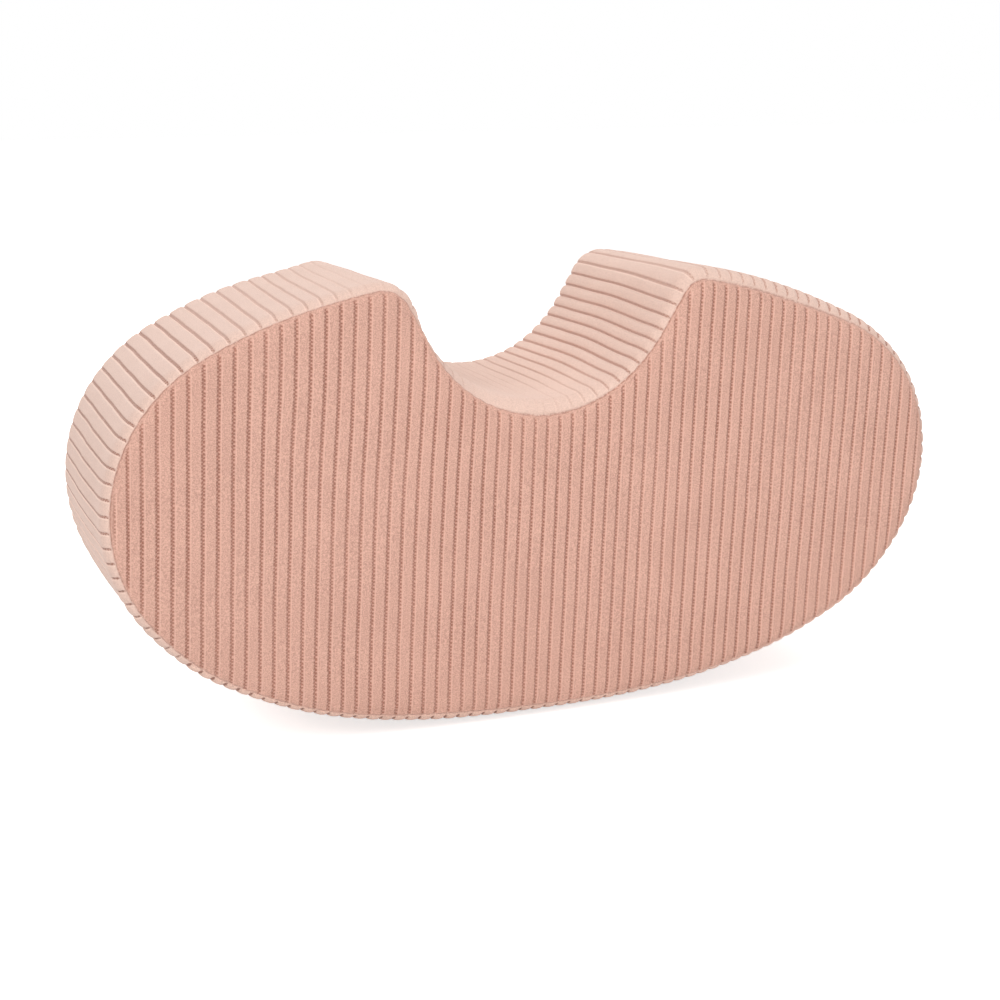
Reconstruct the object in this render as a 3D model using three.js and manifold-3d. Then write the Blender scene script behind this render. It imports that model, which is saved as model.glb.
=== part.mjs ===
import * as THREE from 'three';
import { mergeVertices } from 'three/addons/utils/BufferGeometryUtils.js';
import Module from 'manifold-3d';

// A foam rocker for small children: a kidney-shaped foam block in a ribbed velour cover.
// Millimetres. X runs along the rocker, Y from its front to its back and Z up.
// The origin is on the floor, under the middle of the block.

const wasm = await Module();
wasm.setup();

// Outline of the seams, as arcs that run into each other without a corner.
const outline = {
  rockerRadius: 733,    // the long curve that it rocks on
  rockerSlope: 24.2,    // degrees, where that curve hands over to the end
  endRadius: 154,       // the round end of the block
  shoulderSlope: 27.5,  // degrees, where the end hands over to the shoulder
  shoulderRadius: 482,  // the slow curve of the shoulder
  humpSlope: 8.5,       // degrees, where the shoulder hands over to the hump's tip
  humpRadius: 24,       // the rounded tip beside the seat
  wallSlope: 61.5,      // degrees, the straight side of the seat hollow
  seatRadius: 131,      // the bottom of the seat hollow
};

const body = {
  seamSpan: 247,        // from the front seam to the back seam
  gap: 0.3,             // air between two pieces that lie against each other
  floorCut: 0.5,        // flat cut along the bottom, which it stands on
};

const cloth = {
  thickness: 3,         // backed velour under the bottom of a groove
  ribPitch: 12.26,      // from one rib to the next
  grooveWidth: 3.1,
  grooveDepth: 2.2,
};

const band = {
  crown: 8.8,           // how far the ribs stand out past the seams
  crownRun: 13,         // width over which the band rises from a seam
  baseRibCount: 57,     // ribs of the strip along the bottom; the other strip has the rest
};

const panel = {
  rim: 3,               // thickness of the sewn rim
  lip: 1.2,             // how far the sewn rim stands out past the band
  crown: 4.5,           // how far the ribs stand out past the seam
  crownRun: 14,         // width over which the panel rises from its rim
};

const tape = {
  width: 8.2,           // one side, from the slit to the sewn edge
  thickness: 0.6,
  hem: 2.4,             // width of the sewn edge
  tail: 15,             // how far it runs past the teeth at each end
};

const teeth = {
  width: 1.8,
  height: 1.4,
  slit: 1.2,            // between the two rows, where the slider's post runs
  length: 470,
};

const stop = {
  wall: 0.5,
  length: 3,
};

const slider = {
  length: 9,
  noseLength: 3,
  noseWidth: 8.4,
  wall: 0.7,            // the side walls that hold the teeth in
  plate: 0.8,           // upper and lower plate
  postLength: 3.6,
  postThickness: 0.6,
  cornerRadius: 0.7,
  earWall: 0.6,
  earLength: 1.8,
  pinRadius: 0.5,
};

const pull = {
  length: 18,
  width: 5,
  neckWidth: 2.6,
  neckLength: 3.4,
  thickness: 1,
  knuckleRadius: 1.2,
  cornerRadius: 1.4,
  windowLength: 7,
  windowWidth: 2,
};

// How round things are cut into flats.
const finestTurn = 8;     // degrees of an arc from one station to the next
const longestStep = 20;   // and no longer than this along a slow curve
const arcSteps = 6;       // steps of a small rounded corner
const pinSides = 12;
const overrun = 1;        // how far a cutter runs past what it cuts

const velour = new THREE.MeshStandardMaterial({ color: '#d9ab99', roughness: 0.95, metalness: 0 });
const foam = new THREE.MeshStandardMaterial({ color: '#f0ead8', roughness: 1, metalness: 0 });
const wovenTape = new THREE.MeshStandardMaterial({ color: '#cfa190', roughness: 0.9, metalness: 0 });
const nylon = new THREE.MeshStandardMaterial({ color: '#c99a88', roughness: 0.45, metalness: 0 });
const metal = new THREE.MeshStandardMaterial({ color: '#b9b4ac', roughness: 0.35, metalness: 0.9 });

const rad = THREE.MathUtils.degToRad;

// Planes across the rocker, each as a distance from its middle.
const seamPlane = body.seamSpan / 2;
const innerPlane = seamPlane - panel.rim;
const corePlane = innerPlane - body.gap;
const facePlane = seamPlane + panel.crown;
const risePlane = corePlane - band.crownRun;

// Offsets from the seam outline, outwards.
const sleeveEdge = -cloth.thickness;
const sleeveMiddle = band.crown - cloth.grooveDepth - cloth.thickness;
const seamHeight = band.crown - body.floorCut;

// The outline

// The pieces from the middle of the bottom, up the right end and down into the seat.
function rightHalf() {
  const pieces = [];
  let place = new THREE.Vector2(0, seamHeight);
  let heading = 0;
  const add = (bend, turn, run) => {
    const piece = { place: place.clone(), heading, bend, turn, length: bend ? turn / bend : run };
    pieces.push(piece);
    place = pointOn(piece, piece.length, 0);
    heading += turn;
  };
  const bendTo = (radius, end) => add(1 / radius, end - heading);
  bendTo(outline.rockerRadius, rad(outline.rockerSlope));
  bendTo(outline.endRadius, Math.PI - rad(outline.shoulderSlope));
  bendTo(outline.shoulderRadius, Math.PI - rad(outline.humpSlope));
  bendTo(outline.humpRadius, Math.PI + rad(outline.wallSlope));
  const wall = rad(outline.wallSlope);
  add(0, 0, (place.x - outline.seatRadius * Math.sin(wall)) / Math.cos(wall));
  add(-1 / outline.seatRadius, -wall);
  return pieces;
}

// A point on one piece, at a length from its start and an offset out of the block.
function pointOn(piece, length, out) {
  const heading = piece.heading + piece.bend * length;
  const normal = (angle) => new THREE.Vector2(Math.sin(angle), -Math.cos(angle));
  const point = piece.place.clone();
  if (piece.bend) {
    point.addScaledVector(normal(heading), 1 / piece.bend);
    point.addScaledVector(normal(piece.heading), -1 / piece.bend);
  } else {
    point.x += length * Math.cos(heading);
    point.y += length * Math.sin(heading);
  }
  return point.addScaledVector(normal(heading), out);
}

const half = rightHalf();
const halfLength = half.reduce((sum, piece) => sum + piece.length, 0);
const tipLength = half[0].length + (Math.PI / 2 - half[1].heading) * outline.endRadius;
const rockerCentre = seamHeight + outline.rockerRadius;

// A point of the outline at a length from the middle of the bottom, either way round.
function spot(along, out) {
  const turns = Math.round(along / (2 * halfLength));
  const nearest = along - turns * 2 * halfLength;
  let rest = Math.abs(nearest);
  let piece = half[0];
  for (const next of half) {
    piece = next;
    if (rest <= next.length || next === half.at(-1)) break;
    rest -= next.length;
  }
  const point = pointOn(piece, Math.min(rest, piece.length), out);
  if (nearest < 0) point.x = -point.x;
  return point;
}

// The lengths at which the outline is cut into flats, finer where it bends more.
function stationsBetween(start, end) {
  const knots = [];
  let from = 0;
  for (const piece of half) {
    const steps = piece.bend ? Math.ceil(Math.max(
      Math.abs(piece.turn) / rad(finestTurn),
      piece.length / longestStep,
    )) : 1;
    for (let step = 0; step < steps; step += 1) knots.push(from + piece.length * step / steps);
    from += piece.length;
  }
  knots.push(halfLength);
  const round = 2 * halfLength;
  const all = knots.flatMap((knot) => [knot, -knot, round - knot, knot - round]);
  const clear = longestStep / 1000;
  const inside = all.filter((knot) => knot > start + clear && knot < end - clear);
  inside.sort((a, b) => a - b);
  const kept = inside.filter((knot, i) => i === 0 || knot - inside[i - 1] > clear);
  return [start, ...kept, end];
}

// The height of the lower or upper edge of the outline at a place along X.
function edgeHeight(x, out, upper) {
  for (const piece of half) {
    const end = piece.heading + piece.turn;
    if (!piece.bend) {
      const first = pointOn(piece, 0, out);
      const last = pointOn(piece, piece.length, out);
      if (upper && Math.abs(x) <= first.x && Math.abs(x) >= last.x) {
        return first.y + (Math.abs(x) - first.x) * Math.tan(piece.heading);
      }
      continue;
    }
    const centre = pointOn(piece, 0, -1 / piece.bend);
    const radius = 1 / piece.bend + out;
    const lean = Math.asin(THREE.MathUtils.clamp((Math.abs(x) - centre.x) / radius, -1, 1));
    const heading = upper ? Math.PI - lean : lean;
    const low = Math.min(piece.heading, end) - Number.EPSILON;
    const high = Math.max(piece.heading, end) + Number.EPSILON;
    if (heading >= low && heading <= high) return centre.y - radius * Math.cos(heading);
  }
  return seamHeight;
}

// Making closed bodies

// A body made of rows of points, with triangles zipped between one row and the next.
class Skin {
  constructor(flip = false) {
    this.flip = flip;
    this.places = [];
    this.corners = [];
  }

  // Adds a point, and gives it back with its place along the row.
  point(along, x, y, z) {
    this.places.push(x, this.flip ? -y : y, Math.max(z, 0));
    return { along, id: this.places.length / 3 - 1 };
  }

  triangle(a, b, c) {
    if (a === b || b === c || c === a) return;
    if (this.flip) this.corners.push(a, c, b);
    else this.corners.push(a, b, c);
  }

  // Both rows run the same way; the body lies behind them, seen with the next row above.
  zip(row, next) {
    let i = 0;
    let j = 0;
    while (i < row.length - 1 || j < next.length - 1) {
      const rowIsDone = i === row.length - 1;
      const nextIsDone = j === next.length - 1;
      if (nextIsDone || (!rowIsDone && row[i + 1].along <= next[j + 1].along)) {
        this.triangle(row[i].id, row[i + 1].id, next[j].id);
        i += 1;
      } else {
        this.triangle(row[i].id, next[j + 1].id, next[j].id);
        j += 1;
      }
    }
  }

  zipLoop(rows) {
    rows.forEach((row, i) => this.zip(row, rows[(i + 1) % rows.length]));
  }

  // Closes a flat ring of points. Its corners are given in the plane, anticlockwise
  // seen from outside unless turned.
  cap(ring, turned = false) {
    const contour = ring.map((corner) => new THREE.Vector2(corner.u, corner.v));
    for (const face of THREE.ShapeUtils.triangulateShape(contour, [])) {
      const [a, b, c] = face.map((index) => ring[index]);
      const area = (b.u - a.u) * (c.v - a.v) - (c.u - a.u) * (b.v - a.v);
      if ((area > 0) !== turned) this.triangle(a.id, b.id, c.id);
      else this.triangle(a.id, c.id, b.id);
    }
  }

  geometry() {
    const geometry = new THREE.BufferGeometry();
    geometry.setAttribute('position', new THREE.Float32BufferAttribute(this.places, 3));
    geometry.setIndex(this.corners);
    geometry.computeVertexNormals();
    return geometry;
  }
}

// A strip that follows the outline. Each row has its depth y, and its points' lengths and
// offsets. The rows go round the strip's section: outer side from the back to the front,
// then the inner side back again.
function strip(rows) {
  const skin = new Skin();
  const laid = rows.map((row) => row.points.map(({ along, out }) => {
    const place = spot(along, out);
    return skin.point(along, place.x, row.y, place.y);
  }));
  skin.zipLoop(laid);
  const ring = (pick) => rows.map((row, i) => (
    { id: laid[i].at(pick).id, u: row.y, v: row.points.at(pick).out }
  ));
  skin.cap(ring(0));
  skin.cap(ring(-1), true);
  return skin.geometry();
}

// A strip of one plain section, given as corners of offset and depth.
function plainStrip(section, start, end) {
  const stations = stationsBetween(start, end);
  return strip(section.map(([out, y]) => (
    { y, points: stations.map((along) => ({ along, out })) }
  )));
}

// A prism from a flat outline: drawn in X and Z, and standing out along Y from a depth.
function plate(shape, thickness, depth) {
  const geometry = new THREE.ExtrudeGeometry(shape, {
    depth: thickness, bevelEnabled: false, curveSegments: arcSteps,
  });
  geometry.rotateX(Math.PI / 2);
  geometry.translate(0, depth + thickness, 0);
  return geometry;
}

function rectangle(low, high) {
  const shape = new THREE.Shape();
  shape.moveTo(low.x, low.y);
  shape.lineTo(high.x, low.y);
  shape.lineTo(high.x, high.y);
  shape.lineTo(low.x, high.y);
  shape.closePath();
  return shape;
}

// A closed outline through the given corners, each rounded by the radius.
function rounded(corners, radius) {
  const shape = new THREE.Shape();
  corners.forEach((corner, i) => {
    const before = corners.at(i - 1);
    const after = corners[(i + 1) % corners.length];
    const reach = (to) => Math.min(radius, corner.distanceTo(to) / 2);
    const enter = corner.clone().lerp(before, reach(before) / corner.distanceTo(before));
    const leave = corner.clone().lerp(after, reach(after) / corner.distanceTo(after));
    if (i === 0) shape.moveTo(enter.x, enter.y);
    else shape.lineTo(enter.x, enter.y);
    shape.quadraticCurveTo(corner.x, corner.y, leave.x, leave.y);
  });
  shape.closePath();
  return shape;
}

function solid(geometry) {
  const bare = geometry.clone();
  bare.deleteAttribute('normal');
  bare.deleteAttribute('uv');
  const merged = mergeVertices(bare);
  return new wasm.Manifold(new wasm.Mesh({
    numProp: 3,
    vertProperties: new Float32Array(merged.attributes.position.array),
    triVerts: new Uint32Array(merged.index.array),
  }));
}

function geometryOf(manifold) {
  const mesh = manifold.getMesh();
  const geometry = new THREE.BufferGeometry();
  geometry.setAttribute('position', new THREE.Float32BufferAttribute(mesh.vertProperties, 3));
  geometry.setIndex(Array.from(mesh.triVerts));
  geometry.computeVertexNormals();
  return geometry;
}

function joined(geometries) {
  return geometries.map(solid).reduce((sum, next) => sum.add(next));
}

const rocker = new THREE.Group();

function addPiece(name, geometry, material, parent = rocker) {
  const mesh = new THREE.Mesh(geometry, material);
  mesh.name = name;
  parent.add(mesh);
  return mesh;
}

// The foam block, cut from one slab, with its long edges eased by the cover.
function foamCore() {
  const skin = new Skin();
  const round = 2 * halfLength;
  const stations = stationsBetween(0, round).slice(0, -1);
  const ringAt = (y, out) => {
    const ring = stations.map((along) => {
      const place = spot(along, out - body.gap);
      return { ...skin.point(along, place.x, y, place.y), u: place.x, v: place.y };
    });
    return [...ring, { ...ring[0], along: round }];
  };
  const rings = [
    ringAt(corePlane, sleeveEdge),
    ringAt(risePlane, sleeveMiddle),
    ringAt(-risePlane, sleeveMiddle),
    ringAt(-corePlane, sleeveEdge),
  ];
  rings.slice(1).forEach((ring, i) => skin.zip(rings[i], ring));
  skin.cap(rings[0].slice(0, -1), true);
  skin.cap(rings[3].slice(0, -1));
  return skin.geometry();
}

// One strip of the band, with its ribs running from the front to the back.
const ribCount = Math.round(2 * halfLength / cloth.ribPitch);
const bandPitch = 2 * halfLength / ribCount;

function bandStrip(firstRib, lastRib) {
  const start = (firstRib - 1 / 2) * bandPitch + body.gap / 2;
  const end = (lastRib + 1 / 2) * bandPitch - body.gap / 2;
  const grooveHalf = cloth.grooveWidth / 2;
  const edge = [{ along: start, out: 0 }];
  const ribs = [];
  for (let rib = firstRib; rib <= lastRib; rib += 1) {
    const low = (rib - 1 / 2) * bandPitch;
    const high = low + bandPitch;
    const floor = band.crown - cloth.grooveDepth;
    ribs.push({ along: Math.max(low, start), out: floor });
    ribs.push({ along: low + grooveHalf, out: band.crown });
    ribs.push({ along: high - grooveHalf, out: band.crown });
    edge.push({ along: Math.min(high, end), out: 0 });
    if (rib === lastRib) ribs.push({ along: end, out: floor });
  }
  const stations = stationsBetween(start, end);
  const inside = (out) => stations.map((along) => ({ along, out }));
  return strip([
    { y: corePlane, points: edge },
    { y: risePlane, points: ribs },
    { y: -risePlane, points: ribs },
    { y: -corePlane, points: edge },
    { y: -corePlane, points: inside(sleeveEdge) },
    { y: -risePlane, points: inside(sleeveMiddle) },
    { y: risePlane, points: inside(sleeveMiddle) },
    { y: corePlane, points: inside(sleeveEdge) },
  ]);
}

// The slot for the zip takes this much off the lower edge of the back panel.
const slotWidth = 2 * tape.width + teeth.slit + panel.lip + 2 * body.gap;
const tapeHalf = teeth.length / 2 + tape.tail;
const slotReach = tapeHalf + body.gap;

// A side panel, with its ribs upright. The panel is drawn as the front one; flipped it is
// the back one.
function sidePanel(flip, slotted) {
  const skin = new Skin(flip);
  const slotEnd = spot(slotReach, 0).x;

  // How far the lower edge stands in from the seam outline at a place along X.
  const lowerOut = (x, out) => (slotted && Math.abs(x) < slotEnd ? out - slotWidth : out);
  const lowerPlace = (along, out) => {
    const inSlot = slotted && Math.abs(along) <= slotReach;
    return spot(along, inSlot ? out - slotWidth : out);
  };

  // Rim rows, from the left end to the right end.
  const lowerStations = stationsBetween(-tipLength, tipLength);
  if (slotted) {
    const step = body.gap;
    lowerStations.push(slotReach, slotReach + step, -slotReach, -slotReach - step);
    lowerStations.sort((a, b) => a - b);
  }
  const upperStations = stationsBetween(tipLength, 2 * halfLength - tipLength).reverse();
  const rimRow = (y, out, ends) => {
    const row = (stations, place) => stations.slice(1, -1).map((along) => {
      const { x, y: z } = place(along, out);
      return skin.point(x, x, -y, z);
    });
    return {
      lower: [ends[0], ...row(lowerStations, lowerPlace), ends[1]],
      upper: [ends[0], ...row(upperStations, spot), ends[1]],
    };
  };
  const tips = (y, out) => [-tipLength, tipLength].map((along) => {
    const { x, y: z } = spot(along, out);
    return skin.point(x, x, -y, z);
  });
  const inner = rimRow(innerPlane, panel.lip, tips(innerPlane, panel.lip));
  const outer = rimRow(seamPlane, panel.lip, tips(seamPlane, panel.lip));

  // Face rows, where the ribs have their full height.
  const inset = panel.lip - panel.crownRun;
  const faceEnds = tips(facePlane - cloth.grooveDepth, inset);
  const limit = spot(tipLength, inset).x;
  const grooveHalf = cloth.grooveWidth / 2;
  const places = [];
  const lastRib = Math.ceil(limit / cloth.ribPitch);
  for (let rib = -lastRib; rib <= lastRib; rib += 1) {
    const groove = (rib + 1 / 2) * cloth.ribPitch;
    places.push([groove - grooveHalf, facePlane]);
    places.push([groove, facePlane - cloth.grooveDepth]);
    places.push([groove + grooveHalf, facePlane]);
  }
  const faceRow = (upper) => {
    const row = places.filter(([x]) => Math.abs(x) < limit - body.gap).map(([x, y]) => {
      const out = upper ? inset : lowerOut(x, inset);
      return skin.point(x, x, -y, edgeHeight(x, out, upper));
    });
    return [faceEnds[0], ...row, faceEnds[1]];
  };
  skin.zipLoop([
    inner.lower, outer.lower, faceRow(false), faceRow(true), outer.upper, inner.upper,
  ]);
  return skin.geometry();
}

// The zip, along the lower edge of the back. Its depths are counted from the foam block.
const rowLow = teeth.slit / 2;
const rowHigh = rowLow + teeth.width;
const slit = -(tape.width + teeth.slit / 2);
const lowerPlate = corePlane + body.gap;
const tapePlane = lowerPlate + slider.plate + body.gap;
const teethPlane = tapePlane + tape.thickness + body.gap;
const upperPlate = teethPlane + teeth.height + body.gap;
const pinPlane = upperPlate + slider.plate + body.gap + pull.knuckleRadius;

// One side of the tape, thicker at its sewn edge. The side is 1 by the band, -1 by the panel.
function zipTape(side) {
  const inner = slit + side * teeth.slit / 2;
  const sewn = inner + side * (tape.width - body.gap);
  const hem = sewn - side * tape.hem;
  const top = tapePlane + tape.thickness;
  const section = [
    [sewn, top], [sewn, lowerPlate], [hem, lowerPlate],
    [hem, tapePlane], [inner, tapePlane], [inner, top],
  ];
  if (side < 0) section.reverse();
  return plainStrip(section, -tapeHalf, tapeHalf);
}

function zipTeeth(side) {
  const inner = slit + side * teeth.slit / 2;
  const outer = inner + side * teeth.width;
  const [low, high] = side > 0 ? [inner, outer] : [outer, inner];
  const top = teethPlane + teeth.height;
  const section = [[high, top], [high, teethPlane], [low, teethPlane], [low, top]];
  return plainStrip(section, -teeth.length / 2, teeth.length / 2);
}

// A group that carries small hardware along the curve of the zip. In it X runs along the
// zip, Y out of the back and Z towards the middle of the block.
function onZip(along) {
  const carrier = new THREE.Group();
  carrier.position.z = rockerCentre;
  carrier.rotation.y = -along / outline.rockerRadius;
  const seat = new THREE.Group();
  seat.position.z = -(outline.rockerRadius + slit);
  carrier.add(seat);
  rocker.add(carrier);
  return seat;
}

// A clip over the teeth from one place across the zip to another, with a wall down the
// outer side of each row that it covers.
function clip(low, high) {
  const roof = teethPlane + teeth.height + body.gap;
  const length = stop.length / 2;
  const box = (from, to, bottom) => plate(
    rectangle(new THREE.Vector2(-length, from), new THREE.Vector2(length, to)),
    roof + stop.wall - bottom, bottom,
  );
  const wall = (side) => {
    const edges = [side * (rowHigh + body.gap), side * (rowHigh + body.gap + stop.wall)];
    return box(Math.min(...edges), Math.max(...edges), teethPlane);
  };
  const reach = (edge) => (Math.abs(edge) < rowHigh ? edge : edge + Math.sign(edge) * body.gap);
  const pieces = [box(reach(low), reach(high), roof)];
  if (low <= -rowHigh) pieces.push(wall(-1));
  if (high >= rowHigh) pieces.push(wall(1));
  return geometryOf(joined(pieces));
}

// The slider: an upper and a lower plate joined by a post that runs in the slit.
const channelHalf = teeth.slit / 2 + teeth.width + body.gap;
const sliderHalf = channelHalf + slider.wall;
const earHalf = pull.neckWidth / 2 + body.gap;

function zipSlider() {
  const nose = slider.length / 2 - slider.noseLength;
  const plan = rounded([
    new THREE.Vector2(-slider.length / 2, -sliderHalf),
    new THREE.Vector2(nose, -sliderHalf),
    new THREE.Vector2(slider.length / 2, -slider.noseWidth / 2),
    new THREE.Vector2(slider.length / 2, slider.noseWidth / 2),
    new THREE.Vector2(nose, sliderHalf),
    new THREE.Vector2(-slider.length / 2, sliderHalf),
  ], slider.cornerRadius);
  const channel = plate(rectangle(
    new THREE.Vector2(-slider.length, -channelHalf),
    new THREE.Vector2(slider.length, channelHalf),
  ), upperPlate - teethPlane + overrun, teethPlane - overrun);
  const walls = solid(plate(plan, upperPlate - teethPlane, teethPlane)).subtract(solid(channel));
  const post = rectangle(
    new THREE.Vector2(slider.length / 2 - slider.postLength, -slider.postThickness / 2),
    new THREE.Vector2(slider.length / 2, slider.postThickness / 2),
  );
  const pieces = [
    plate(plan, slider.plate, lowerPlate),
    plate(plan, slider.plate, upperPlate),
    plate(post, upperPlate - lowerPlate, lowerPlate),
  ];
  const top = upperPlate + slider.plate / 2;
  for (const side of [-1, 1]) {
    const from = side * earHalf;
    const to = side * (earHalf + slider.earWall);
    pieces.push(plate(rectangle(
      new THREE.Vector2(-slider.earLength / 2, Math.min(from, to)),
      new THREE.Vector2(slider.earLength / 2, Math.max(from, to)),
    ), pinPlane + slider.pinRadius - top, top));
  }
  const pinLength = 2 * (earHalf + slider.earWall / 2);
  const pin = new THREE.CylinderGeometry(slider.pinRadius, slider.pinRadius, pinLength, pinSides);
  pin.rotateX(Math.PI / 2);
  pin.translate(0, pinPlane, 0);
  pieces.push(pin);
  return geometryOf(joined(pieces).add(walls));
}

// The pull: a flat tag on a knuckle that turns on the slider's pin.
function zipPull() {
  const reach = -pull.knuckleRadius / 2;
  const tag = rounded([
    new THREE.Vector2(-pull.length, -pull.width / 2),
    new THREE.Vector2(-pull.neckLength, -pull.width / 2),
    new THREE.Vector2(-pull.neckLength, -pull.neckWidth / 2),
    new THREE.Vector2(reach, -pull.neckWidth / 2),
    new THREE.Vector2(reach, pull.neckWidth / 2),
    new THREE.Vector2(-pull.neckLength, pull.neckWidth / 2),
    new THREE.Vector2(-pull.neckLength, pull.width / 2),
    new THREE.Vector2(-pull.length, pull.width / 2),
  ], pull.cornerRadius / 2);
  const windowEnd = pull.length - pull.cornerRadius;
  const window = rounded([
    new THREE.Vector2(-windowEnd, -pull.windowWidth / 2),
    new THREE.Vector2(-windowEnd + pull.windowLength, -pull.windowWidth / 2),
    new THREE.Vector2(-windowEnd + pull.windowLength, pull.windowWidth / 2),
    new THREE.Vector2(-windowEnd, pull.windowWidth / 2),
  ], pull.windowWidth / 2);
  const rod = (radius, length) => {
    const geometry = new THREE.CylinderGeometry(radius, radius, length, pinSides);
    geometry.rotateX(Math.PI / 2);
    return geometry;
  };
  const bore = rod(slider.pinRadius + body.gap, pull.neckWidth + overrun);
  return geometryOf(joined([
    plate(tag, pull.thickness, -pull.thickness / 2),
    rod(pull.knuckleRadius, pull.neckWidth),
  ]).subtract(solid(bore)).subtract(
    solid(plate(window, pull.thickness + overrun, -(pull.thickness + overrun) / 2)),
  ));
}

addPiece('foam_core', foamCore(), foam);
addPiece('front_panel', sidePanel(false, false), velour);
addPiece('back_panel', sidePanel(true, true), velour);
const lastBaseRib = (band.baseRibCount - 1) / 2;
addPiece('base_band', bandStrip(-lastBaseRib, lastBaseRib), velour);
addPiece('seat_band', bandStrip(lastBaseRib + 1, ribCount - lastBaseRib - 1), velour);

addPiece('zip_tape_lower', zipTape(1), wovenTape);
addPiece('zip_tape_upper', zipTape(-1), wovenTape);
addPiece('zip_teeth_lower', zipTeeth(1), nylon);
addPiece('zip_teeth_upper', zipTeeth(-1), nylon);

const closedEnd = onZip((teeth.length - stop.length) / 2);
addPiece('zip_top_stop_lower', clip(-rowHigh, -rowLow), metal, closedEnd);
addPiece('zip_top_stop_upper', clip(rowLow, rowHigh), metal, closedEnd);
addPiece('zip_bottom_stop', clip(-rowHigh, rowHigh), metal, onZip((stop.length - teeth.length) / 2));

const parked = onZip(teeth.length / 2 - stop.length - body.gap - slider.length / 2);
addPiece('zip_slider', zipSlider(), metal, parked);
addPiece('zip_pull', zipPull(), metal, parked).position.y = pinPlane;

export default rocker;
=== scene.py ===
# %% [markdown]
# A foam rocker in a ribbed velour cover.
# The packed model already holds every piece at its real size, as plain solids. This lesson gives
# each piece its looks: cloth with real ribs, rolled edges and puckered seams, and a small zip on
# the back. The packed model is a fixed frame, so everything here is placed by its sizes.

# %% Load the packed model
import math
import bmesh
import bpy
import numpy as np
from mathutils import Matrix, Vector, kdtree
from mathutils import noise as clouds


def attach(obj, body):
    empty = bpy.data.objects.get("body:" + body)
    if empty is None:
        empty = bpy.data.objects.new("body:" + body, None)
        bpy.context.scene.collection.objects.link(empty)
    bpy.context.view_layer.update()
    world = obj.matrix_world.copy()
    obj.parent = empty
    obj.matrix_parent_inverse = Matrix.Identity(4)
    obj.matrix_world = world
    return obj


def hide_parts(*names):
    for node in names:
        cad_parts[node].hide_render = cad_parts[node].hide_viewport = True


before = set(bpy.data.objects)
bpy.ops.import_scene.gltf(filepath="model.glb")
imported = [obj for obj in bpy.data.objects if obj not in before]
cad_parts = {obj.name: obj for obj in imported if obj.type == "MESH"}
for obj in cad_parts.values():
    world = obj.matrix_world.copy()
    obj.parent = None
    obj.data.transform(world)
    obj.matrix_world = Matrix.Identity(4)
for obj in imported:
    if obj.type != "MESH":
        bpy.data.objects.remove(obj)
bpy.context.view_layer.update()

mm = 0.001
print("solids:", sorted(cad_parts))

# %% [markdown]
# The camera comes first. It could be turned by hand until the outlines agree. Here the rib lines
# and seams of the photograph were measured and a camera was fitted to them, because that also gives
# the object's proportions: it stands 1.5 m in front, to the left and a little above the seat. The
# frame is square, so a 36 mm wide sensor and the fitted lens give the same view.

# %% Camera
EYE = Vector((-0.55987, -1.48391, 0.55597))
RIGHT = Vector((0.93505, -0.35430, -0.01247))
UP = Vector((0.09338, 0.21221, 0.97275))


def placed(name, data):
    """An object in the scene for some data."""
    made = bpy.data.objects.new(name, data)
    bpy.context.collection.objects.link(made)
    return made


camera = placed("camera", bpy.data.cameras.new("camera"))
camera.data.lens, camera.data.sensor_width = 60.13, 36
turn = Matrix((RIGHT, UP, RIGHT.cross(UP))).transposed()
camera.matrix_world = Matrix.Translation(EYE) @ turn.to_4x4()
bpy.context.scene.camera = camera
print("camera", round(EYE.length, 3), "m from the floor under the block")

# %% [markdown]
# The cover's seams follow an outline made of arcs that run into each other: the long rocking curve,
# the round end, the shoulder, the small tip beside the seat, a straight wall and the seat's
# bottom. It could be drawn as a curve by hand. Here each arc has a radius and the heading at which
# it ends, as on the real cutting pattern, and the packed solids use the same figures. The outline
# is worked out once as a fine table, where everything looks up its place.

# %% The outline of the seams
SEAM_SPAN = 247 * mm        # from the front seam to the back seam
HALF_SPAN = SEAM_SPAN / 2
SEAM_FLOOR = 8.3 * mm       # the height of the seam's lowest point
ARCS = ((733, 24.2), (154, 152.5), (482, 171.5), (24, 241.5))   # radius in mm, last heading
SEAT_RADIUS = 131 * mm


def half_outline(step=0.5 * mm):
    """Lengths, places and headings from the middle of the bottom up the right end to the seat."""
    table, x, z, heading, gone = [], 0.0, SEAM_FLOOR, 0.0, 0.0

    def run(bend, length):
        nonlocal x, z, heading, gone
        t = np.linspace(0, length, max(2, round(length / step)))
        h = heading + bend * t
        if bend:
            px = x + (np.sin(h) - math.sin(heading)) / bend
            pz = z - (np.cos(h) - math.cos(heading)) / bend
        else:
            px, pz = x + t * math.cos(heading), z + t * math.sin(heading)
        table.append(np.c_[gone + t, px, pz, h])
        x, z, heading, gone = px[-1], pz[-1], h[-1], gone + length

    for radius, end in ARCS:
        run(1 / (radius * mm), radius * mm * (math.radians(end) - heading))
    wall = heading - math.pi
    run(0, (x - SEAT_RADIUS * math.sin(wall)) / math.cos(wall))
    run(-1 / SEAT_RADIUS, SEAT_RADIUS * wall)
    return np.vstack(table)


HALF = half_outline()
HALF_LENGTH = HALF[-1, 0]
print("outline", round(2 * HALF_LENGTH, 3), "m round")

# %% Places on the outline


def lap_of(along):
    """The same length, counted from the middle of the bottom: to the right plus, left minus."""
    return along - np.round(along / (2 * HALF_LENGTH)) * 2 * HALF_LENGTH


def spot(along, out=0.0):
    """Places x, z at a distance out from the outline, and the outward direction there."""
    near = lap_of(np.asarray(along, float))
    side = np.where(near < 0, -1.0, 1.0)
    x, z, heading = (np.interp(np.abs(near), HALF[:, 0], HALF[:, k]) for k in (1, 2, 3))
    nx, nz = np.sin(heading), -np.cos(heading)
    return side * (x + nx * out), z + nz * out, side * nx, nz


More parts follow.
